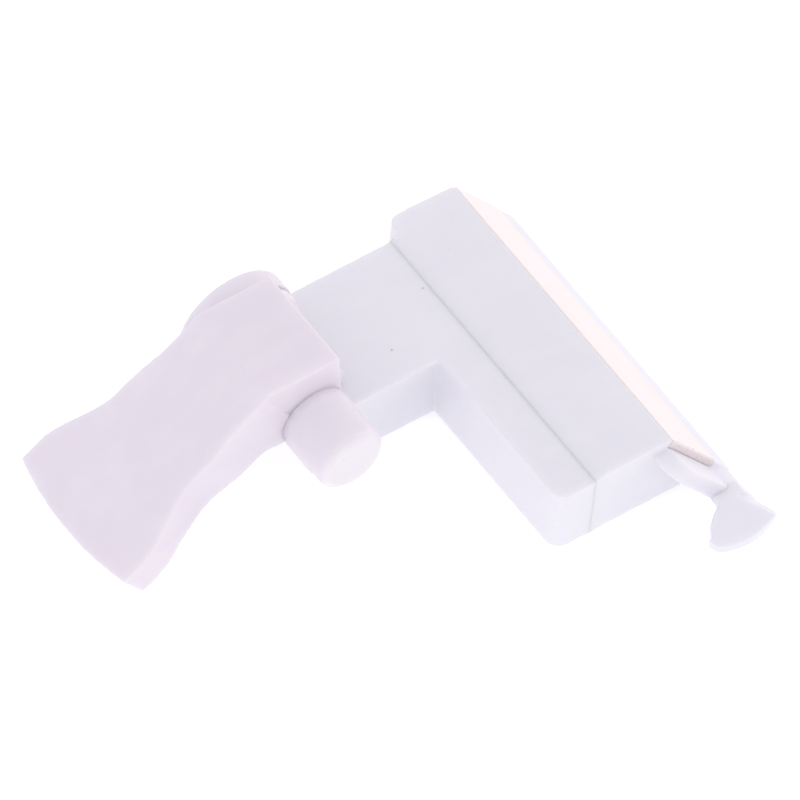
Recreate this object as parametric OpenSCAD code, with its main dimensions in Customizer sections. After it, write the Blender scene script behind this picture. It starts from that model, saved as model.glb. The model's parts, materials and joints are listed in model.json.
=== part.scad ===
// Latch lever of a stair gate: a thumb paddle and a latch arm that rock on one pivot pin.
// Origin: on the pivot axis, at the middle of the pin's free bearing length.
// +X runs from the paddle to the latch bar, +Y along the pivot axis away from the free pin end, +Z up.

/* [Pivot] */
// Radius of the pin's free end
pin_r = 3.8; // [3:0.1:4.5]
// Length of the free end that bears in the gate
pin_bearing_len = 5.9; // [4:0.1:9]
// Rounding of the free end's rim
pin_rim_r = 0.95; // [0.4:0.05:1.4]
// Radius of the shank inside the barrel
shank_r = 3; // [2.4:0.1:3.2]
// Radial running clearance between shank and barrel
running_clearance = 0.05; // [0.02:0.01:0.1]
// Outside radius of the barrel
barrel_r = 5.6; // [5.5:0.1:5.8]
// Radius of the end cap
cap_r = 6.2; // [5.9:0.1:7]
// Length of the barrel along the pivot axis
barrel_len = 12.3; // [11:0.1:14]
// Thickness of the end cap
cap_len = 2.5; // [1.8:0.1:3.5]
// Side play between the barrel and the pieces at its two ends
side_play = 0.1; // [0.1:0.05:0.3]

/* [Paddle] */
// Length of the paddle's top face
paddle_len = 23.1; // [18:0.1:28]
// Angle of the paddle below the latch arm's plane
paddle_drop = 37; // [30:1:42]
// Thickness of the paddle
paddle_t = 4.4; // [3.5:0.1:5]
// Half width at the narrow part
paddle_neck_w = 6.6; // [6:0.1:7.5]
// Half width at the flared end
paddle_end_w = 9.1; // [8:0.1:11]
// Height of the flat top above the pivot axis
crown_h = 7.3; // [6.9:0.1:7.6]

/* [Latch arm] */
// Level of the arm's top face, below the pivot axis
arm_top = -7; // [-7.4:0.1:-6.8]
// Depth of the arm and of its foot
arm_depth = 8.6; // [8:0.1:10]
// Width of the arm along the pivot axis
arm_w = 15.1; // [14.5:0.1:16]
// Distance from the pivot axis to the latch bar
bar_x = 22.5; // [21.5:0.1:25]
// Wall thickness of the arm
arm_wall = 1.7; // [1.4:0.1:2]

/* [Latch bar] */
// Length of the latch bar along the pivot axis
bar_len = 38.2; // [36:0.1:42]
// Width of the bar's top face
bar_top_w = 9.5; // [9:0.1:11]
// Height of the bar's top face above the arm
bar_rise = 0.5; // [0.3:0.1:0.8]
// Angle of the nose face below the top face
nose_slope = 52; // [48:1:55]
// Length of the nose face down its slope
nose_len = 13.8; // [13:0.1:15]
// Thickness of the strike plate on the nose
plate_t = 1; // [0.8:0.1:1.2]

/* [Release tab] */
// Length of the tab and its lug beyond the bar's end
tab_len = 9.15; // [8.5:0.05:10]
// Width of the tab's fan
fan_w = 8.2; // [7:0.1:9]
// Width of the tab's neck
neck_w = 3.9; // [3.2:0.1:4.4]
// Thickness of the fan
fan_t = 1.2; // [1:0.1:1.6]

/* [Hidden] */
$fn = 72;

// Along the pivot axis.
pin_tip_y = -pin_bearing_len / 2 - pin_rim_r;
shoulder_y = pin_bearing_len / 2 + 0.05;
neck_y0 = shoulder_y + side_play;
barrel_y0 = neck_y0 + 0.2;
neck_r = pin_r - 0.16;
flange_r = barrel_r + 0.4;
flange_len = 1.6;
neck_len = 3.5;
barrel_y1 = barrel_y0 + barrel_len;
barrel_mid_y = (barrel_y0 + barrel_y1) / 2;
cap_y0 = barrel_y1 + side_play;
cap_y1 = cap_y0 + cap_len;
cap_socket = 1.6;
arm_y0 = 6.1;
arm_y1 = arm_y0 + arm_w;
bar_y1 = arm_y1 + 2.2;
bar_y0 = bar_y1 - bar_len;
bore_r = shank_r + running_clearance;

// Spring chamber and torsion spring.
chamber_r = 4.6;
chamber_y0 = barrel_y0 + 6.6;
spring_r = 3.85;
spring_wire_r = 0.35;
spring_turns = 4.25;
spring_y0 = chamber_y0 + 0.75;
spring_y1 = barrel_y1 - 0.55;
spring_leg_r = 0.5;
spring_leg_depth = 1.5;

// Across the lever: x and z of the outlines, in the plane of the arm.
joint_x = -6.4;
joint_z = crown_h - 0.3;
crown_x = 2.75;
keel_angle = 8.5;
paddle_bow = 0.9;
paddle_mid_y = barrel_mid_y - 0.2;
arm_low = arm_top - arm_depth;
foot_w = 4.4;
foot_corner_r = 1.6;
foot_x = bar_x - foot_w;
arm_x0 = 3;
arm_skin = 2.2;
bar_gap = 0.02;
bar_x0 = bar_x + bar_gap;
bar_top = arm_top + bar_rise;
edge_x = bar_x + bar_top_w;
edge_z = bar_top - 0.35;
nose_x = edge_x + nose_len * cos(nose_slope);
nose_z = edge_z - nose_len * sin(nose_slope);
nose_wall = 2.6;
bar_wall = 1.9;
shoulder_in = 1.2;
shoulder_r = 1.1;
end_wall = 2.2;
floor_t = 2.8;
floor_z = arm_low + floor_t;
floor_x1 = edge_x - 0.1;
cavity_ledge = 0.25;

// The lever lies on the arm's low end and on the nose, both at one level.
rest_tilt = atan2(arm_low - nose_z, nose_x - arm_x0);

// Self-tapping screws, two up into the barrel's web and three up into the bar.
screw_r = 1;
screw_len = 4.2;
screw_head_r = 1.9;
screw_head_t = 1.5;
screw_clear = 0.12;
web_screw_x = 6.65;
web_screw_ys = [10.3, 14.15];
bar_screw_x = 28.2;
bar_screw_ys = [bar_y0 + 6.4, bar_y0 + bar_len / 2, bar_y1 - 6.4];
web_screw_z = arm_top - arm_skin;
bar_screw_z = arm_low + screw_head_t + 0.1;

// Strike plate on the nose: distances down the slope, and its pegs.
plate_s0 = 0.3;
plate_s1 = 10;
plate_proud = 0.12;
peg_r = 0.9;
peg_len = 1.2;
peg_s = 4.6;
peg_ys = [bar_y0 + 5, bar_y0 + bar_len / 2, bar_y1 - 5];

// Lug on the bar's end, and the release tab that turns in it.
lug_w = 3;
lug_y = bar_y0 - lug_w;
lug_set_back = 0.8;
lug_run = 2.35;
lug_top = bar_top - 1.55;
tab_top = nose_z + 2.1;
tab_low = tab_top - fan_t;
lug_low = tab_low - 0.1;
knuckle_r = fan_t / 2 + 0.05;
knuckle_play = 0.08;
knuckle_y = lug_y - 0.45;
knuckle_z = tab_low + fan_t / 2;
tab_tip_y = bar_y0 - tab_len;
neck_x1 = nose_x - 0.6;
neck_x0 = neck_x1 - neck_w;
fan_x1 = nose_x + 0.05;
fan_x0 = fan_x1 - fan_w;
fan_mid_x = fan_x1 - 4.5;
fan_arc_r = 8;

// A slab from y0 to y1 with the given outline in x and z.
module along_y(y0, y1) {
    translate([0, y1, 0])
        rotate([90, 0, 0])
            linear_extrude(height = y1 - y0)
                children();
}

// A round bar along the pivot axis.
module rod_y(r, y0, y1) {
    translate([0, y1, 0])
        rotate([90, 0, 0])
            cylinder(r = r, h = y1 - y0);
}

// Turns a piece of the lever about the pivot axis to the angle at which the lever lies.
module lever_pose() {
    rotate([0, -rest_tilt, 0])
        children();
}

// Frame of the nose face: x runs down the slope from the sharp edge, z out of the face.
module nose_frame() {
    translate([edge_x, 0, edge_z])
        rotate([0, nose_slope, 0])
            children();
}

// Frame of the paddle's top face: x runs from the barrel to the tip, z out of the face.
module paddle_frame() {
    translate([joint_x, paddle_mid_y, joint_z])
        rotate([0, -paddle_drop, 0])
            mirror([1, 0, 0])
                children();
}

// Points of an arc, from angle a0 to angle a1.
function arc(cx, cy, r, a0, a1, n) =
    [for (i = [0:n]) [cx + r * cos(a0 + (a1 - a0) * i / n), cy + r * sin(a0 + (a1 - a0) * i / n)]];

function smooth(t) = t <= 0 ? 0 : t >= 1 ? 1 : t * t * (3 - 2 * t);

// Shouldered pin: a thick free end, and a shank that carries the barrel and the cap.
module pivot_pin() {
    inner_r = pin_r - pin_rim_r;
    profile = concat(
        [[0, 0], [inner_r, 0]],
        arc(inner_r, pin_rim_r, pin_rim_r, -75, 0, 5),
        [[pin_r, shoulder_y - pin_tip_y], [shank_r, shoulder_y - pin_tip_y],
         [shank_r, cap_y0 + cap_socket - pin_tip_y], [0, cap_y0 + cap_socket - pin_tip_y]]);
    color("white")
        translate([0, pin_tip_y, 0])
            rotate([-90, 0, 0])
                rotate_extrude()
                    polygon(profile);
}

// Round cap pressed on the shank, which keeps the lever on the pin.
module pin_cap() {
    rim = 0.5;
    color("ghostwhite")
        difference() {
            translate([0, cap_y0, 0])
                rotate([-90, 0, 0])
                    rotate_extrude()
                        polygon(concat(
                            [[0, 0], [cap_r, 0]],
                            arc(cap_r - rim, cap_len - rim, rim, 0, 90, 4),
                            [[0, cap_len]]));
            rod_y(shank_r, cap_y0 - 1, cap_y0 + cap_socket);
            translate([0, 0, spring_r])
                rod_y(spring_leg_r, cap_y0 - 1, cap_y0 + spring_leg_depth);
        }
}

// Centre line of the spring: a leg along the axis, the turns, and a second leg.
function spring_point(i, n) =
    let (t = i / n, a = 360 * spring_turns * t)
    [spring_r * sin(a), spring_y1 + (spring_y0 - spring_y1) * t, spring_r * cos(a)];

// Torsion spring in the barrel: one leg in the cap, the other in the chamber's floor.
module return_spring() {
    steps = 96;
    sides = 8;
    first = spring_point(0, steps);
    last = spring_point(steps, steps);
    path = concat(
        [[first[0], cap_y0 + spring_leg_depth - 0.3, first[2]], [first[0], spring_y1 + 0.5, first[2]]],
        [for (i = [0:steps]) spring_point(i, steps)],
        [[last[0], spring_y0 - 0.5, last[2]], [last[0], chamber_y0 - spring_leg_depth + 0.3, last[2]]]);
    n = len(path);
    points = [for (i = [0:n - 1])
        let (before = path[max(i - 1, 0)], after = path[min(i + 1, n - 1)],
             run = (after - before) / norm(after - before),
             radial = [path[i][0], 0, path[i][2]] / spring_r,
             side = cross(run, radial) / norm(cross(run, radial)),
             out = cross(side, run))
        for (k = [0:sides - 1])
            path[i] + spring_wire_r * (out * cos(360 * k / sides) + side * sin(360 * k / sides))];
    faces = concat(
        [[for (k = [0:sides - 1]) k]],
        [for (i = [0:n - 2], k = [0:sides - 1])
            let (m = (k + 1) % sides)
            [i * sides + k, (i + 1) * sides + k, (i + 1) * sides + m, i * sides + m]],
        [[for (k = [sides - 1:-1:0]) (n - 1) * sides + k]]);
    color("silver")
        polyhedron(points = points, faces = faces);
}

// Point at a distance from the joint along the paddle, at a depth below its top face.
function on_paddle(dist, depth) = [
    joint_x - dist * cos(paddle_drop) + depth * sin(paddle_drop),
    joint_z - dist * sin(paddle_drop) - depth * cos(paddle_drop)];

// Plan of the paddle in its own face: concave sides and a bowed, flared end.
module paddle_plan(margin) {
    flare_start = 11;
    flare_end = 20.5;
    root_w = barrel_len / 2 - 0.02;
    bow_r = 38;
    bow_a = asin(paddle_end_w / bow_r);
    bow_x = paddle_len + paddle_bow - bow_r;
    stations = concat([-8, 4, 5.5, 7, 8.5], [for (i = [0:10]) flare_start + (flare_end - flare_start) * i / 10]);
    half = [for (s = stations) root_w
        + (paddle_neck_w - root_w) * smooth((s - 4) / 5)
        + (paddle_end_w - paddle_neck_w) * smooth((s - flare_start) / (flare_end - flare_start))];
    last = len(stations) - 1;
    near_side = [for (i = [0:last]) [stations[i], -half[i] + margin]];
    far_side = [for (i = [last:-1:0]) [stations[i], half[i] - margin]];
    end = [for (p = arc(bow_x - margin, 0, bow_r, -bow_a, bow_a, 12))
        [p[0], p[1] * (paddle_end_w - margin) / paddle_end_w]];
    polygon(concat(near_side, end, far_side));
}

// Side view of the crown over the barrel: a flat top and a steep side that runs into the neck.
module crown_side() {
    into = 0.5;
    polygon([
        [joint_x, joint_z],
        [joint_x + 0.5, crown_h - 0.05],
        [crown_x, crown_h],
        [neck_r * cos(keel_angle), neck_r * sin(keel_angle)] * 0.98,
        [1, 1],
        [-2, -2],
        on_paddle(into, paddle_t - 0.3),
        on_paddle(into, 0.1)]);
}

// Pockets that core the paddle out from below, with a rib between them.
module paddle_pockets() {
    skin = 1.7;
    wall = 1.7;
    rib = 1.2;
    first = 4.6;
    depth = paddle_t - skin;
    cells = 3;
    pitch = (paddle_len - first - wall + rib) / cells;
    paddle_frame()
        translate([0, 0, -paddle_t - 1])
            linear_extrude(height = depth + 1)
                intersection() {
                    paddle_plan(wall);
                    for (i = [0:cells - 1])
                        for (side = [-1, 1])
                            translate([first + i * pitch, side > 0 ? rib / 2 : -paddle_end_w])
                                square([pitch - rib, paddle_end_w - rib / 2]);
                }
}

// Side walls of the paddle, which deepen towards the barrel.
module paddle_gussets() {
    wall = 1.7;
    intersection() {
        along_y(paddle_mid_y - 9, paddle_mid_y + 9)
            polygon([
                on_paddle(0.5, 1.5),
                on_paddle(16, paddle_t - 0.5),
                on_paddle(17, paddle_t - 0.05),
                [-6, -2.05],
                [-3.3, -2.1],
                [-2, 1]]);
        paddle_frame()
            translate([0, 0, -12])
                linear_extrude(height = 12.5)
                    difference() {
                        paddle_plan(0);
                        paddle_plan(wall);
                    }
    }
}

// Thumb paddle with the barrel that turns on the pin, and the web that the arm is screwed to.
module thumb_paddle() {
    web = [[3.2, arm_top], [8.2, arm_top], [8.2, -5.1], [5, -0.9], [2.5, -3]];
    color("whitesmoke")
        lever_pose()
            difference() {
                union() {
                    along_y(barrel_y0, barrel_y1)
                        crown_side();
                    paddle_frame()
                        translate([0, 0, -paddle_t])
                            linear_extrude(height = paddle_t)
                                difference() {
                                    paddle_plan(0);
                                    translate([-30, -15])
                                        square([30, 30]);
                                }
                    paddle_gussets();
                    rod_y(neck_r, neck_y0, barrel_y0 + neck_len + 1);
                    rod_y(barrel_r, barrel_y0 + neck_len, barrel_y1);
                    rod_y(flange_r, barrel_y1 - flange_len, barrel_y1);
                    along_y(arm_y0 + 2.8, barrel_y1 - 0.05)
                        polygon(web);
                }
                rod_y(bore_r, barrel_y0 - 1, barrel_y1 + 1);
                rod_y(chamber_r, chamber_y0, barrel_y1 + 1);
                rotate([0, 360 * spring_turns + rest_tilt, 0])
                    translate([0, 0, spring_r])
                        rod_y(spring_leg_r, chamber_y0 - spring_leg_depth, chamber_y0 + 1);
                paddle_pockets();
                for (y = web_screw_ys)
                    translate([web_screw_x, y, arm_top - 1])
                        cylinder(r = screw_r + 0.02, h = screw_len - arm_skin + 1.3, $fn = 32);
            }
}

// Plan of the arm and of the foot beside the latch bar.
module arm_plan(margin) {
    foot_y = bar_y0 + margin;
    translate([arm_x0 + margin, arm_y0 + margin])
        square([bar_x - arm_x0 - 2 * margin, arm_w - 2 * margin]);
    round_r = max(foot_corner_r - margin, 0.05);
    polygon(concat(
        arc(foot_x + margin + round_r, foot_y + round_r, round_r, 180, 270, 6),
        [[bar_x - margin, foot_y], [bar_x - margin, arm_y0 + margin + 1], [foot_x + margin, arm_y0 + margin + 1]]));
}

// Latch arm: a ribbed shell open below, with a floor that closes the latch bar from below.
module latch_arm() {
    rib = 1.2;
    cross_ribs = [8.9, 14.9];
    long_rib_y = arm_y0 + arm_w / 2 - rib / 2;
    floor_play = 0.25;
    color("white")
        lever_pose()
            difference() {
                union() {
                    difference() {
                        translate([0, 0, arm_low])
                            linear_extrude(height = arm_depth)
                                arm_plan(0);
                        translate([0, 0, arm_low - 1])
                            linear_extrude(height = arm_depth - arm_skin + 1)
                                arm_plan(arm_wall);
                    }
                    for (x = cross_ribs)
                        translate([x, arm_y0 + 1, arm_low])
                            cube([rib, arm_w - 2, arm_depth - 1]);
                    translate([cross_ribs[0], long_rib_y, arm_low])
                        cube([bar_x - cross_ribs[0] - 1, rib, arm_depth - 1]);
                    translate([bar_x - 1, bar_y0 + end_wall + floor_play, arm_low])
                        cube([floor_x1 - bar_x + 1, bar_len - 2 * end_wall - 2 * floor_play, floor_t]);
                }
                for (y = web_screw_ys)
                    translate([web_screw_x, y, arm_low])
                        cylinder(r = screw_r + screw_clear, h = arm_depth + 1, $fn = 32);
                for (y = bar_screw_ys)
                    translate([bar_screw_x, y, arm_low]) {
                        cylinder(r = screw_r + screw_clear, h = floor_t + 1, $fn = 32);
                        translate([0, 0, -1])
                            cylinder(r = screw_head_r + screw_clear, h = screw_head_t + 1.1, $fn = 32);
                    }
            }
}

// Point at a distance down the nose's slope, at a depth below its face.
function on_nose(dist, depth) = [
    edge_x + dist * cos(nose_slope) - depth * sin(nose_slope),
    edge_z - dist * sin(nose_slope) - depth * cos(nose_slope)];

// Where a face parallel to the nose, at a depth below it, crosses a level.
function nose_at(z, depth) = [edge_x + (edge_z - z) / tan(nose_slope) - depth / sin(nose_slope), z];

// Section of the bar: round shoulder, nearly flat top, sharp edge, recessed nose and its lip.
function bar_section() =
    let (run = 1.9, dip = 0.2, recess = plate_t - plate_proud)
    concat(
        [[bar_x0, arm_low]],
        [for (i = [0:6]) [bar_x0 + run * (1 - cos(15 * i)), arm_top - dip + (bar_rise + dip) * sin(15 * i)]],
        [[edge_x - 4, bar_top - 0.05], [edge_x - 1.5, bar_top - 0.16], [edge_x, edge_z]],
        [on_nose(plate_s0, 0), on_nose(plate_s0, recess), on_nose(plate_s1, recess), on_nose(plate_s1, 0)],
        [[nose_x, nose_z], nose_at(nose_z, nose_wall), nose_at(arm_low, nose_wall)]);

// Section of the bar's hollow, which is open below.
function cavity_section() =
    let (top = bar_top - 1.7, wall = nose_wall + cavity_ledge)
    [[bar_x0 + bar_wall, arm_low - 1], [bar_x0 + bar_wall, top], nose_at(top, wall), nose_at(arm_low - 1, wall)];

// Latch bar: shell with the nose slope, screwed down on the arm's floor.
module latch_bar() {
    boss_r = 2.2;
    wall_low = floor_z + 0.06;
    color("snow")
        lever_pose()
            difference() {
                union() {
                    difference() {
                        along_y(bar_y0, bar_y1)
                            polygon(bar_section());
                        along_y(bar_y0 + end_wall, bar_y1 - end_wall)
                            polygon(cavity_section());
                        translate([bar_x0 - 1, bar_y0 + end_wall, arm_low - 1])
                            cube([bar_wall + 1.5, bar_len - 2 * end_wall, wall_low - arm_low + 1]);
                        translate([bar_x0 - 1, arm_y1, arm_low - 1])
                            linear_extrude(height = arm_depth + 4)
                                difference() {
                                    square([1 + shoulder_in + shoulder_r, 4]);
                                    translate([1 + shoulder_in, -1])
                                        square([4, bar_y1 - arm_y1 + 1 - shoulder_r]);
                                    translate([1 + shoulder_in + shoulder_r, bar_y1 - arm_y1 - shoulder_r])
                                        circle(r = shoulder_r, $fn = 48);
                                }
                    }
                    for (y = bar_screw_ys)
                        translate([bar_screw_x, y, wall_low])
                            cylinder(r = boss_r, h = bar_top - 1 - wall_low, $fn = 48);
                    tab_lug();
                }
                for (y = peg_ys)
                    nose_frame()
                        translate([peg_s, y, -plate_t - peg_len])
                            cylinder(r = peg_r + 0.02, h = peg_len + 2, $fn = 32);
                for (y = bar_screw_ys)
                    translate([bar_screw_x, y, floor_z - 1])
                        cylinder(r = screw_r + 0.02, h = screw_len - floor_t + screw_head_t + 1.4, $fn = 32);
                knuckle(knuckle_r + knuckle_play, 2);
            }
}

// Strike plate on the nose, held by three pegs.
module strike_plate() {
    play = 0.04;
    color("lavenderblush")
        lever_pose()
            nose_frame() {
                translate([plate_s0 + play, bar_y0, -plate_t + plate_proud + play])
                    cube([plate_s1 - plate_s0 - 2 * play, bar_len, plate_t - play]);
                for (y = peg_ys)
                    translate([peg_s, y, -plate_t + plate_proud - peg_len + 0.3])
                        cylinder(r = peg_r, h = peg_len, $fn = 32);
            }
}

// Round root of the tab, along x.
module knuckle(r, more) {
    translate([neck_x0 - more, knuckle_y, knuckle_z])
        rotate([0, 90, 0])
            cylinder(r = r, h = neck_w - 1.2 + 2 * more, $fn = 48);
}

// Lug at the bar's near end: the nose wall carried on past the end, with its own low heel.
module tab_lug() {
    crest = 1.2;
    round_w = lug_w - crest;
    round_h = 2.6;
    steps = 6;
    slope_x = nose_at(lug_top, lug_set_back)[0];
    intersection() {
        along_y(lug_y - 1, bar_y0 + 0.8)
            polygon([
                [slope_x - lug_run, lug_top],
                [slope_x, lug_top],
                nose_at(tab_top, lug_set_back),
                [neck_x1, lug_low],
                [neck_x0 + 0.2, lug_low],
                [neck_x0 - 0.1, tab_low + 0.6]]);
        translate([edge_x - 6, 0, 0])
            rotate([90, 0, 90])
                linear_extrude(height = 20)
                    polygon(concat(
                        [[bar_y0 + 2, lug_low - 1], [bar_y0 + 2, lug_top + 1], [bar_y0 - crest + 0.3, lug_top + 1]],
                        [for (i = [0:steps]) [bar_y0 - crest - round_w * sin(90 * i / steps),
                                              lug_top + 0.01 - round_h * (1 - cos(90 * i / steps))]],
                        [[lug_y, lug_low - 1]]));
    }
}

// Plan of the tab: a neck, a flare into the fan on the bar's side with a small barb, a bowed end.
module tab_plan() {
    polygon(concat(
        [[neck_x1, knuckle_y], [neck_x0, knuckle_y], [neck_x0 - 0.15, lug_y - 1]],
        [[fan_x0 + 2.4, lug_y - 1.7], [fan_x0 + 1.4, lug_y - 2.5], [fan_x0 + 0.8, lug_y - 3.4]],
        [[fan_x0 + 0.6, lug_y - 3.9], [fan_x0, lug_y - 4.1], [fan_x0 + 0.1, lug_y - 4.8]],
        arc(fan_mid_x, tab_tip_y + fan_arc_r, fan_arc_r, 245, 303, 12),
        [[fan_x1, lug_y - 4.6], [fan_x1, lug_y - 2.8], [neck_x1 + 0.15, lug_y - 1.2]]));
}

// Space above the tab's sloped outer edge: two planes, one along the neck and one along the fan.
module tab_bevel() {
    top_x = nose_at(tab_top, lug_set_back)[0];
    fan_turn = 26;
    intersection() {
        translate([top_x, 0, tab_top])
            rotate([0, 29, 0])
                translate([-40, -40, 0])
                    cube(80);
        translate([top_x, lug_y - 1, tab_top])
            rotate([0, 0, fan_turn])
                rotate([0, 41, 0])
                    translate([-40, -40, 0])
                        cube(80);
    }
}

// Release tab: a thin fan for the finger, with a round root that turns in the lug.
module release_tab() {
    color("white")
        lever_pose() {
            difference() {
                translate([0, 0, tab_low])
                    linear_extrude(height = fan_t)
                        tab_plan();
                tab_bevel();
            }
            knuckle(knuckle_r, 0);
        }
}

// One self-tapping screw, head below, pointing up.
module screw() {
    slot_w = 0.5;
    difference() {
        union() {
            translate([0, 0, -screw_head_t])
                cylinder(r = screw_head_r, h = screw_head_t, $fn = 32);
            cylinder(r = screw_r, h = screw_len - 0.6, $fn = 32);
            translate([0, 0, screw_len - 0.6])
                cylinder(r1 = screw_r, r2 = 0.4, h = 0.6, $fn = 32);
        }
        for (a = [0, 90])
            rotate(a)
                translate([-screw_head_r * 0.62, -slot_w / 2, -screw_head_t - 1])
                    cube([screw_head_r * 1.24, slot_w, 1.7]);
    }
}

// The five screws that hold the lever together.
module assembly_screws() {
    color("silver")
        lever_pose() {
            for (y = web_screw_ys)
                translate([web_screw_x, y, web_screw_z])
                    screw();
            for (y = bar_screw_ys)
                translate([bar_screw_x, y, bar_screw_z])
                    screw();
        }
}

pivot_pin();
pin_cap();
return_spring();
thumb_paddle();
latch_arm();
latch_bar();
strike_plate();
release_tab();
assembly_screws();
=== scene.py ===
"""Looks of the stair gate latch lever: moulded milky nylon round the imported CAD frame, soft studio."""

import json
import math

import bmesh
import bpy
from mathutils import Matrix, Vector
from mathutils.bvhtree import BVHTree


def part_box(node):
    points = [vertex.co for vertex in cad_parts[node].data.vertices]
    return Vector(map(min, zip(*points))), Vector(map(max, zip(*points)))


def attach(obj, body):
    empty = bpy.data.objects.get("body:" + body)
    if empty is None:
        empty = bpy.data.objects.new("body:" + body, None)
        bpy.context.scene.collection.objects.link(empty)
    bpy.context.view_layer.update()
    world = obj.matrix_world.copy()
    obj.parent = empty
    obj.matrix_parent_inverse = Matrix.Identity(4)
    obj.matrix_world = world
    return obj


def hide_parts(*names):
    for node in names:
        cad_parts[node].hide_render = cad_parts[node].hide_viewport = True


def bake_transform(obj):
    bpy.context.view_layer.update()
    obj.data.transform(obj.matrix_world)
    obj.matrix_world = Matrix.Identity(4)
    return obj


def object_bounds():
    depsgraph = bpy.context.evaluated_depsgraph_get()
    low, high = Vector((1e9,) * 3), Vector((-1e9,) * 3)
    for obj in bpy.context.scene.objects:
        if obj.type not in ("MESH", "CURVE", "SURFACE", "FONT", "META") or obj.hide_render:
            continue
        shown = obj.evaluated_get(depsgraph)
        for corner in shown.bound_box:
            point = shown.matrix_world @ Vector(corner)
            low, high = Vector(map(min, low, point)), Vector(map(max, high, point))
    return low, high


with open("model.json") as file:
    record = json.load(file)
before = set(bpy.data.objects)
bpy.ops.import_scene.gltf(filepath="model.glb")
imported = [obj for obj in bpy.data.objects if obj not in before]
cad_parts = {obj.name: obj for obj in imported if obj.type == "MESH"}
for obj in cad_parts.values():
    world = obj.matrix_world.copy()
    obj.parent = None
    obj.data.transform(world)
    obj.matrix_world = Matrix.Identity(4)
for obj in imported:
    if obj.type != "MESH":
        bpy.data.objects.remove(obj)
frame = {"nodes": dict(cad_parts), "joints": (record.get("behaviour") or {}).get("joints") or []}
NODES = frame["nodes"]
cad_lo, cad_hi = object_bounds()
MM = 0.001

# ---------------------------------------------------------------- materials

# Noise scales, in cycles per metre of the part.
CLOUDS, STREAKS, SCUFFS, SPECKS = 85, 420, 900, 420
GRIT, GRAIN, SINKS, FLOW_LINES = 5200, 3200, 130, 700
PATCHES, SCRATCHES = 520, 2600

# Painted shade for creases and hollows.
CREASE_SHADE_TINT = (0.66, 0.63, 0.69)
SPECK_TINT = (0.30, 0.28, 0.33)
# Painted shade, partly grit, for the plate's cut end.
SHADE_AND_GRIT_TINT = (0.33, 0.32, 0.34)
# Paler tone painted on the pin's free end.
PALE_END_TINT = (0.83, 0.80, 0.835)
BARE_METAL = (0.9, 0.9, 0.91)


def new_material(name):
    """An empty node material with an output and a Principled shader."""
    material = bpy.data.materials.new(name)
    material.use_nodes = True
    tree = material.node_tree
    tree.nodes.clear()
    out = tree.nodes.new("ShaderNodeOutputMaterial")
    shader = tree.nodes.new("ShaderNodeBsdfPrincipled")
    tree.links.new(shader.outputs["BSDF"], out.inputs["Surface"])
    return material, tree, shader


def noise(tree, vector, scale, detail=4.0, roughness=0.55):
    """A noise texture's grey value."""
    node = tree.nodes.new("ShaderNodeTexNoise")
    node.inputs["Scale"].default_value = scale
    node.inputs["Detail"].default_value = detail
    node.inputs["Roughness"].default_value = roughness
    tree.links.new(vector, node.inputs["Vector"])
    return node.outputs["Fac"]


def ramp(tree, value, stops):
    """A grey ramp: stops are (position, level)."""
    node = tree.nodes.new("ShaderNodeValToRGB")
    elements = node.color_ramp.elements
    while len(elements) < len(stops):
        elements.new(0.5)
    for element, (position, level) in zip(elements, stops):
        element.position = position
        element.color = (level, level, level, 1)
    tree.links.new(value, node.inputs["Fac"])
    return node.outputs["Color"]


def calc(tree, operation, a, b):
    """A math node on two values or sockets."""
    node = tree.nodes.new("ShaderNodeMath")
    node.operation = operation
    for socket, value in zip(node.inputs, (a, b)):
        if isinstance(value, (int, float)):
            socket.default_value = value
        else:
            tree.links.new(value, socket)
    return node.outputs[0]


def tint(tree, factor, a, b):
    """Colour a where factor is 0 and b where it is 1."""
    node = tree.nodes.new("ShaderNodeMix")
    node.data_type = "RGBA"
    tree.links.new(factor, node.inputs["Factor"])
    for socket, value in ((node.inputs["A"], a), (node.inputs["B"], b)):
        if isinstance(value, tuple):
            socket.default_value = (*value, 1)
        else:
            tree.links.new(value, socket)
    return node.outputs["Result"]


def object_vector(tree, stretch=(1, 1, 1)):
    """The piece's own coordinates, scaled per axis."""
    coord = tree.nodes.new("ShaderNodeTexCoord")
    mapping = tree.nodes.new("ShaderNodeMapping")
    mapping.inputs["Scale"].default_value = stretch
    tree.links.new(coord.outputs["Object"], mapping.inputs["Vector"])
    return mapping.outputs["Vector"]


def below_y(tree, limit):
    """1 where the piece's own Y is under the limit."""
    axes = tree.nodes.new("ShaderNodeSeparateXYZ")
    coord = tree.nodes.new("ShaderNodeTexCoord")
    tree.links.new(coord.outputs["Object"], axes.inputs["Vector"])
    return calc(tree, "LESS_THAN", axes.outputs["Y"], limit)


def blend_in(tree, mask, share, colour, other):
    """Lays share of the other colour over the colour where the mask is 1."""
    return tint(tree, calc(tree, "MULTIPLY", mask, share), colour, other)


def bump(tree, shader, layers):
    """Stacks bump layers of (height, strength, distance)."""
    normal = None
    for height, strength, distance in layers:
        node = tree.nodes.new("ShaderNodeBump")
        node.inputs["Strength"].default_value = strength
        node.inputs["Distance"].default_value = distance
        tree.links.new(height, node.inputs["Height"])
        if normal is not None:
            tree.links.new(normal, node.inputs["Normal"])
        normal = node.outputs["Normal"]
    tree.links.new(normal, shader.inputs["Normal"])


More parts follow.
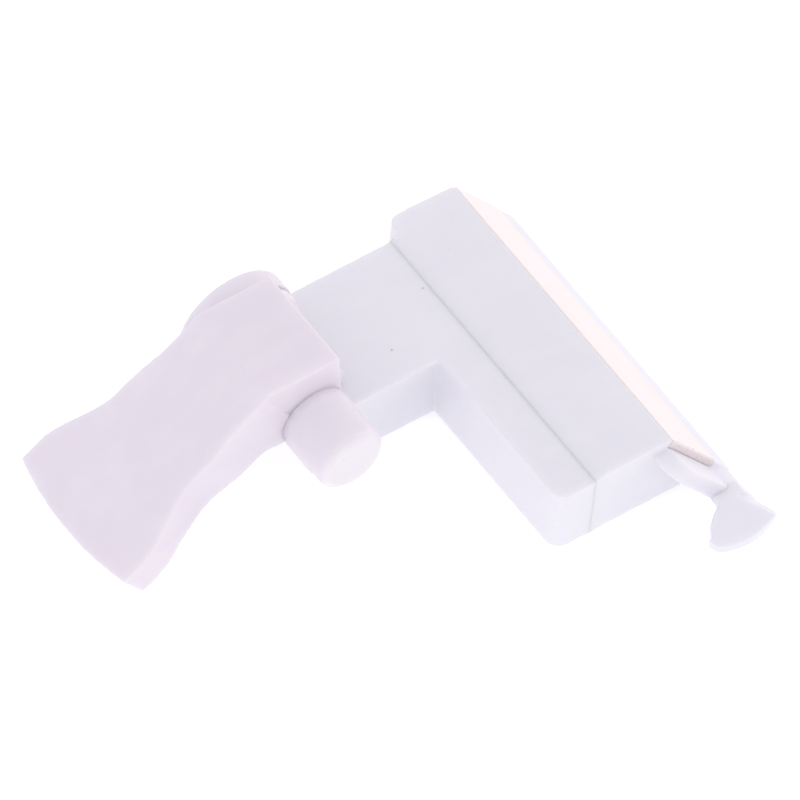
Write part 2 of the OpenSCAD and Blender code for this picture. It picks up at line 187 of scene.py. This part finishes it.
def plastic(name, base, deep, edge, seed=0.0, rough=0.42, shade_and_grit_end=None, pale_end=None):
    """Milky moulded nylon: clouds, edges painted pale as glowing and worn, painted shade in creases,
    rare dark specks, satin grain and sink marks.
    """
    material, tree, shader = new_material(name)
    vector = object_vector(tree)
    shift = vector.node
    shift.inputs["Location"].default_value = (seed, 2 * seed, 3 * seed)
    flow = object_vector(tree, (0.25, 1.0, 1.0))

    # Slow clouds in the resin and streaks along its flow.
    clouds = ramp(tree, noise(tree, vector, CLOUDS, 3.0), ((0.32, 0), (0.68, 1)))
    streaks = ramp(tree, noise(tree, flow, STREAKS, 2.0), ((0.45, 0), (0.75, 1)))
    colour = tint(tree, clouds, base, deep)
    colour = blend_in(tree, streaks, 0.22, colour, edge)

    # Painted edge glow: edges are thinner, so light through them makes them look paler, and handling
    # also wears and polishes them.
    geometry = tree.nodes.new("ShaderNodeNewGeometry")
    edges = ramp(tree, geometry.outputs["Pointiness"], ((0.5, 0), (0.58, 1)))
    scuffs = ramp(tree, noise(tree, vector, SCUFFS, 5.0), ((0.4, 0.25), (0.62, 1)))
    edge_glow_and_wear = calc(tree, "MULTIPLY", edges, scuffs)
    colour = blend_in(tree, edge_glow_and_wear, 0.45, colour, edge)
    # Painted shade: creases and hollows are darkened.
    crease_shade = ramp(tree, geometry.outputs["Pointiness"], ((0.40, 1), (0.49, 0)))
    colour = blend_in(tree, crease_shade, 0.2, colour, CREASE_SHADE_TINT)

    # Rare specks of burnt resin.
    cells = tree.nodes.new("ShaderNodeTexVoronoi")
    cells.inputs["Scale"].default_value = SPECKS
    tree.links.new(vector, cells.inputs["Vector"])
    dot = ramp(tree, cells.outputs["Distance"], ((0.03, 1), (0.075, 0)))
    split = tree.nodes.new("ShaderNodeSeparateColor")
    tree.links.new(cells.outputs["Color"], split.inputs["Color"])
    rare = ramp(tree, split.outputs["Red"], ((0.93, 0), (0.95, 1)))
    colour = blend_in(tree, calc(tree, "MULTIPLY", dot, rare), 0.55, colour, SPECK_TINT)

    if shade_and_grit_end is not None:
        # Painted shade, partly grit: the plate's recessed cut end is darkened in specks.
        grit = ramp(tree, noise(tree, vector, GRIT, 5.0, 0.8), ((0.40, 0.15), (0.62, 1)))
        end_shade_and_grit = calc(tree, "MULTIPLY", below_y(tree, shade_and_grit_end), grit)
        colour = blend_in(tree, end_shade_and_grit, 0.4, colour, SHADE_AND_GRIT_TINT)
    if pale_end is not None:
        # The free end's face is painted paler.
        colour = blend_in(tree, below_y(tree, pale_end), 0.8, colour, PALE_END_TINT)
    tree.links.new(colour, shader.inputs["Base Color"])

    grain = noise(tree, vector, GRAIN, 4.0, 0.6)
    satin = ramp(tree, grain, ((0.3, rough - 0.07), (0.7, rough + 0.09)))
    polish = calc(tree, "MULTIPLY", edge_glow_and_wear, -0.1)
    tree.links.new(calc(tree, "ADD", satin, polish), shader.inputs["Roughness"])
    bump(
        tree,
        shader,
        (
            (noise(tree, vector, SINKS, 2.0), 0.35, 0.12 * MM),
            (noise(tree, flow, FLOW_LINES, 3.0), 0.2, 0.03 * MM),
            (grain, 0.25, 0.012 * MM),
        ),
    )
    shader.inputs["IOR"].default_value = 1.5
    shader.inputs["Specular IOR Level"].default_value = 0.4
    shader.inputs["Subsurface Weight"].default_value = 0.35
    shader.inputs["Subsurface Radius"].default_value = (1.0, 0.86, 1.0)
    shader.inputs["Subsurface Scale"].default_value = 1.3 * MM
    return material


def steel(name, base, dull, rough):
    """Plated or drawn steel: fine scratches, dull patches and bright worn edges."""
    material, tree, shader = new_material(name)
    vector = object_vector(tree)
    drawn = object_vector(tree, (1.0, 6.0, 1.0))
    patches = ramp(tree, noise(tree, vector, PATCHES, 4.0), ((0.35, 0), (0.65, 1)))
    colour = tint(tree, patches, base, dull)
    geometry = tree.nodes.new("ShaderNodeNewGeometry")
    edges = ramp(tree, geometry.outputs["Pointiness"], ((0.51, 0), (0.6, 1)))
    colour = blend_in(tree, edges, 0.6, colour, BARE_METAL)
    tree.links.new(colour, shader.inputs["Base Color"])
    scratches = noise(tree, drawn, SCRATCHES, 4.0, 0.65)
    satin = ramp(tree, scratches, ((0.3, rough - 0.08), (0.7, rough + 0.12)))
    tree.links.new(satin, shader.inputs["Roughness"])
    bump(tree, shader, ((scratches, 0.3, 0.01 * MM),))
    shader.inputs["Metallic"].default_value = 1.0
    return material


plate_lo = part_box("strike_plate")[0]
pin_lo, pin_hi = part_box("pivot_pin")
EDGE = (0.87, 0.845, 0.89)
LOOKS = {
    "body": plastic("body_nylon", (0.805, 0.745, 0.825), (0.785, 0.735, 0.81), EDGE, 0.0),
    "lever": plastic("arm_nylon", (0.81, 0.80, 0.86), (0.79, 0.78, 0.845), EDGE, 0.011),
    "pin": plastic(
        "pin_nylon",
        (0.80, 0.755, 0.82),
        (0.78, 0.74, 0.81),
        EDGE,
        0.023,
        0.36,
        pale_end=pin_lo.y + 0.3 * MM,
    ),
    # The plate's pale pink is partly its own tone and partly painted light: the brightness and warm tint
    # of its lit face.
    "nose": plastic(
        "nose_acetal",
        (0.91, 0.815, 0.815),
        (0.89, 0.785, 0.79),
        (0.93, 0.87, 0.885),
        0.037,
        0.34,
        shade_and_grit_end=plate_lo.y + 0.25 * MM,
    ),
    "screw": steel("screw_zinc", (0.66, 0.66, 0.68), (0.52, 0.52, 0.55), 0.32),
    "spring": steel("spring_wire", (0.58, 0.58, 0.60), (0.45, 0.45, 0.48), 0.28),
}

# ---------------------------------------------------------------- moulded pieces

flex = next(j for j in frame["joints"] if j["name"] == "tab_flex")
hinge = Vector(flex["pos_m"])
along_lever = Vector(flex["axis"]).normalized()
side = Vector((0, 1, 0))
seam_x = min(v.co.dot(along_lever) for v in NODES["latch_bar"].data.vertices)
neck_y = min(
    v.co.y for v in NODES["thumb_paddle"].data.vertices if math.hypot(v.co.x, v.co.z) < 3.4 * MM
)


def dress(obj, look):
    """Puts a material in every slot of a piece."""
    if not obj.material_slots:
        obj.data.materials.append(look)
    for place in obj.material_slots:
        place.material = look


# Where edges stay crisp or lap: full effect up to the first distance, none past the second, in mm.
SEAM_CRISP = (0.3, 0.7)
NECK_CRISP = (0.25, 0.6)
LAP_SPAN = (0.05, 0.8)
NECK_REACH = 5.0 * MM
SEAM_LAP = 0.26 * MM
SEAM_DROP = 0.012 * MM


def soften(obj, voxel, steps):
    """Rounds every edge the way a mould does: an even mesh of the solid, then smoothed."""
    even = obj.modifiers.new("even_mesh", "REMESH")
    even.mode = "VOXEL"
    even.voxel_size = voxel * MM
    even.use_smooth_shade = True
    smooth = obj.modifiers.new("moulded_edges", "SMOOTH")
    smooth.factor = 0.5
    smooth.iterations = steps


def shaped_mesh(mesh, name, voxel, steps):
    """A new object: the mesh, softened."""
    obj = bpy.data.objects.new(name, mesh)
    bpy.context.scene.collection.objects.link(obj)
    soften(obj, voxel, steps)
    graph = bpy.context.evaluated_depsgraph_get()
    graph.update()
    shaped = bpy.data.meshes.new_from_object(obj.evaluated_get(graph))
    obj.modifiers.clear()
    obj.data = shaped
    return obj


def fade(distance, near, far):
    """1 up to near, 0 from far, distances in mm."""
    t = min(max((far - distance / MM) / (far - near), 0), 1)
    return t * t * (3 - 2 * t)


def at_seam(point):
    """The arm and the bar meet edge to edge, with no rounding."""
    return fade(abs(point.dot(along_lever) - seam_x), *SEAM_CRISP)


def at_neck(point):
    """The neck meets the pin edge to edge."""
    near_pin = math.hypot(point.x, point.z) < NECK_REACH
    return fade(abs(point.y - neck_y), *NECK_CRISP) if near_pin else 0


def lap_seam(obj):
    """Runs the faces at the seam a little into the bar and under its skin, so that no gap shows."""
    normals = [vertex.normal.copy() for vertex in obj.data.vertices]
    for vertex, normal in zip(obj.data.vertices, normals):
        weight = fade(abs(vertex.co.dot(along_lever) - seam_x), *LAP_SPAN)
        vertex.co += weight * (SEAM_LAP * along_lever - SEAM_DROP * normal)
    obj.data.update()


def moulded(node, look, voxel, steps, body, sharp=None):
    """A new piece for a CAD node, its edges rounded as a mould does, except where sharp() says not.

    voxel is the mesh step in mm and steps the rounds of smoothing.
    """
    source = NODES[node].data
    obj = shaped_mesh(source.copy(), node + "_moulded", voxel, steps)
    if sharp:
        solid = BVHTree.FromPolygons(
            [v.co for v in source.vertices], [tuple(p.vertices) for p in source.polygons]
        )
        for vertex in obj.data.vertices:
            weight = sharp(vertex.co)
            if weight > 0:
                vertex.co = vertex.co.lerp(solid.find_nearest(vertex.co)[0], weight)
        obj.data.update()
    obj.data.materials.clear()
    dress(obj, LOOKS[look])
    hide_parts(node)
    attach(obj, body)
    return obj


moulded("thumb_paddle", "body", 0.16, 7, "lever", at_neck)
arm = moulded("latch_arm", "lever", 0.18, 5, "lever", at_seam)
moulded("latch_bar", "lever", 0.18, 5, "lever", at_seam)
lap_seam(arm)
moulded("strike_plate", "nose", 0.13, 2, "lever")
moulded("pin_cap", "body", 0.13, 4, "pin")
dress(NODES["assembly_screws"], LOOKS["screw"])

# ---------------------------------------------------------------- pivot pin

PIN_SIDES = 96
RIM_R = 0.95 * MM
RIM_STEPS = 10
SHANK_R = 3.0 * MM
SHOULDER_GAP = 0.005 * MM
SHOULDER_BEVEL = 0.02 * MM


def turned_pin():
    """The pin turned to its profile: domed rim, bearing length, shoulder, shank."""
    r = (pin_hi.x - pin_lo.x) / 2
    face = r - RIM_R
    rim_y = pin_lo.y + RIM_R
    shoulder = neck_y - SHOULDER_GAP
    profile = [(0, pin_lo.y), (face * 0.5, pin_lo.y), (face - 0.05 * MM, pin_lo.y)]
    for i in range(RIM_STEPS + 1):
        a = math.pi / 2 * i / RIM_STEPS
        profile.append((face + RIM_R * math.sin(a), rim_y - RIM_R * math.cos(a)))
    profile += [(r, rim_y + (shoulder - rim_y) * k / 6) for k in range(1, 6)]
    profile += [(r, shoulder - SHOULDER_BEVEL), (r - SHOULDER_BEVEL, shoulder), (SHANK_R, shoulder)]
    profile += [(SHANK_R, shoulder + (pin_hi.y - shoulder) * k / 8) for k in range(1, 9)]
    profile.append((0, pin_hi.y))
    work = bmesh.new()
    rings = []
    angles = [2 * math.pi * k / PIN_SIDES for k in range(PIN_SIDES)]
    for radius, y in profile:
        spokes = angles if radius else angles[:1]
        ring = [(radius * math.cos(a), y, radius * math.sin(a)) for a in spokes]
        rings.append([work.verts.new(point) for point in ring])
    for first, second in zip(rings, rings[1:]):
        for k in range(PIN_SIDES):
            n = (k + 1) % PIN_SIDES
            corners = [first[k % len(first)], first[n % len(first)]]
            corners += [second[n % len(second)], second[k % len(second)]]
            work.faces.new(list(dict.fromkeys(corners))).smooth = True
    bmesh.ops.recalc_face_normals(work, faces=work.faces)
    mesh = bpy.data.meshes.new("pivot_pin_turned")
    work.to_mesh(mesh)
    work.free()
    obj = bpy.data.objects.new("pivot_pin_turned", mesh)
    bpy.context.scene.collection.objects.link(obj)
    return obj


pin = turned_pin()
dress(pin, LOOKS["pin"])
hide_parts("pivot_pin")
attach(pin, "pin")

# ---------------------------------------------------------------- release tab

# The neck's block: its length along the tab, how far its outer top edge leans in and its offset
# towards the lug. How far past the hinge line the CAD tab still counts as its root.
NECK_LEN = 1.7 * MM
NECK_SLOPE = 0.95 * MM
NECK_SHIFT = 0.1 * MM
ROOT_DEPTH = 0.3 * MM


def tab_leaf():
    """The tab with its thin neck run into the lug."""
    source = NODES["release_tab"].data
    up = along_lever.cross(side)
    root = [v.co - hinge for v in source.vertices if v.co.y > hinge.y - ROOT_DEPTH]
    across = [p.dot(along_lever) for p in root]
    lift = [p.dot(up) for p in root]
    half = Vector((max(across) - min(across), NECK_LEN, max(lift) - min(lift))) / 2
    middle = (max(across) + min(across)) / 2
    rise = (max(lift) + min(lift)) / 2
    place = hinge + along_lever * middle + up * rise + side * NECK_SHIFT
    turn = Matrix((along_lever, side, up)).transposed()
    work = bmesh.new()
    work.from_mesh(source)
    for corner in bmesh.ops.create_cube(work, size=2)["verts"]:
        corner.co = Vector(a * b for a, b in zip(corner.co, half))
        if corner.co.x > 0 and corner.co.z > 0:
            corner.co.x -= NECK_SLOPE
        corner.co = place + turn @ corner.co
    mesh = bpy.data.meshes.new("release_tab_leaf")
    work.to_mesh(mesh)
    work.free()
    return shaped_mesh(mesh, "release_tab_leaf", 0.11, 6)


leaf = tab_leaf()
dress(leaf, LOOKS["lever"])
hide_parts("release_tab")
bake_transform(leaf)

# ---------------------------------------------------------------- return spring

SPRING_TURNS = 4.25
SPRING_STEPS = 48
WIRE_SIDES = 14
LEG_STEPS = 6
wire_lo, wire_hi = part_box("return_spring")
wire_r = 0.35 * MM
coil_r = wire_hi.x - wire_r
leg = 1.68 * MM


def spring_path():
    """A leg into the cap, the turns, and a leg into the barrel's floor."""
    y1, y0 = wire_hi.y - leg, wire_lo.y + leg
    count = round(SPRING_TURNS * SPRING_STEPS)
    path = []
    for i in range(count + 1):
        t = i / count
        a = 2 * math.pi * SPRING_TURNS * t
        path.append(Vector((coil_r * math.sin(a), y1 + (y0 - y1) * t, coil_r * math.cos(a))))
    first, last = path[0], path[-1]
    knots = [k * leg / LEG_STEPS for k in range(LEG_STEPS - 1)]
    head = [Vector((first.x, wire_hi.y - knot, first.z)) for knot in knots]
    tail = [Vector((last.x, wire_lo.y + knot, last.z)) for knot in reversed(knots)]
    return head + path + tail


def tube(name, path, radius, sides):
    """A closed round wire along a path."""
    verts, faces = [], []
    up = Vector((0, 0, 1))
    for i, point in enumerate(path):
        along = (path[min(i + 1, len(path) - 1)] - path[max(i - 1, 0)]).normalized()
        across = along.cross(up)
        if across.length < 0.2:
            across = along.cross(Vector((1, 0, 0)))
        across.normalize()
        up = across.cross(along).normalized()
        for k in range(sides):
            a = 2 * math.pi * k / sides
            verts.append(point + radius * (across * math.cos(a) + up * math.sin(a)))
    for i in range(len(path) - 1):
        for k in range(sides):
            n = (k + 1) % sides
            faces.append((i * sides + k, i * sides + n, (i + 1) * sides + n, (i + 1) * sides + k))
    faces.append(tuple(reversed(range(sides))))
    faces.append(tuple(range((len(path) - 1) * sides, len(path) * sides)))
    mesh = bpy.data.meshes.new(name)
    mesh.from_pydata(verts, [], faces)
    mesh.update()
    for polygon in mesh.polygons:
        polygon.use_smooth = len(polygon.vertices) == 4
    obj = bpy.data.objects.new(name, mesh)
    bpy.context.scene.collection.objects.link(obj)
    return obj


spring = tube("return_spring_wire", spring_path(), wire_r, WIRE_SIDES)
dress(spring, LOOKS["spring"])
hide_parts("return_spring")
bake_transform(spring)

# ---------------------------------------------------------------- studio

FLOOR_Z = cad_lo.z
FLOOR_HALF = 6.0
FLOOR_GLOW = 0.44
FLOOR_GREY = 0.8
SKY_STRENGTH = 0.86


def studio_floor():
    """A wide pale floor, lit from above and glowing a little like a light table; open from below."""
    mesh = bpy.data.meshes.new("studio_floor")
    h = FLOOR_HALF
    corners = [(-h, -h, FLOOR_Z), (h, -h, FLOOR_Z), (h, h, FLOOR_Z), (-h, h, FLOOR_Z)]
    mesh.from_pydata(corners, [], [(0, 1, 2, 3)])
    floor = bpy.data.objects.new("studio_floor", mesh)
    bpy.context.scene.collection.objects.link(floor)
    material, tree, shader = new_material("floor_paper")
    shader.inputs["Base Color"].default_value = (FLOOR_GREY, FLOOR_GREY, FLOOR_GREY, 1)
    shader.inputs["Roughness"].default_value = 0.9
    shader.inputs["Specular IOR Level"].default_value = 0.0
    shader.inputs["Emission Color"].default_value = (1, 1, 1, 1)
    shader.inputs["Emission Strength"].default_value = FLOOR_GLOW
    clear = tree.nodes.new("ShaderNodeBsdfTransparent")
    geometry = tree.nodes.new("ShaderNodeNewGeometry")
    mix = tree.nodes.new("ShaderNodeMixShader")
    out = next(n for n in tree.nodes if n.type == "OUTPUT_MATERIAL")
    tree.links.new(geometry.outputs["Backfacing"], mix.inputs["Fac"])
    tree.links.new(shader.outputs["BSDF"], mix.inputs[1])
    tree.links.new(clear.outputs["BSDF"], mix.inputs[2])
    tree.links.new(mix.outputs["Shader"], out.inputs["Surface"])
    mesh.materials.append(material)


def softbox(name, place, aim, size, power, colour):
    """A square area light looking at a point."""
    data = bpy.data.lights.new(name, "AREA")
    data.shape = "SQUARE"
    data.size = size
    data.energy = power
    data.color = colour
    light = bpy.data.objects.new(name, data)
    light.location = place
    light.rotation_mode = "QUATERNION"
    light.rotation_quaternion = (Vector(aim) - Vector(place)).to_track_quat("-Z", "Y")
    bpy.context.scene.collection.objects.link(light)


studio_floor()
centre = (cad_lo + cad_hi) / 2
softbox("overhead_softbox", (-0.45, -0.15, 0.85), centre, 0.7, 1.1, (1.0, 0.99, 1.0))
softbox("nose_softbox", (0.8, -0.15, 0.35), centre, 0.5, 1.25, (1.0, 0.86, 0.85))

world = bpy.data.worlds.new("studio_air")
world.use_nodes = True
sky = world.node_tree.nodes["Background"]
sky.inputs["Color"].default_value = (0.98, 0.975, 1.0, 1)
sky.inputs["Strength"].default_value = SKY_STRENGTH
bpy.context.scene.world = world
bpy.context.scene.view_settings.view_transform = "Standard"
bpy.context.scene.view_settings.look = "None"

# ---------------------------------------------------------------- camera

camera_data = bpy.data.cameras.new("camera")
camera_data.sensor_width = 36
camera_data.lens = 658.5
camera_data.clip_start = 0.05
camera_data.clip_end = 50
camera = bpy.data.objects.new("camera", camera_data)
right = Vector((0.81088, -0.57399, 0.11404))
up = Vector((0.39241, 0.67788, 0.62169))
back = Vector((-0.43415, -0.45936, 0.77492))
turn = Matrix((right, up, back)).transposed().to_4x4()
camera.matrix_world = Matrix.Translation(Vector((-0.62640, -0.67156, 1.13354))) @ turn
bpy.context.scene.collection.objects.link(camera)
bpy.context.scene.camera = camera
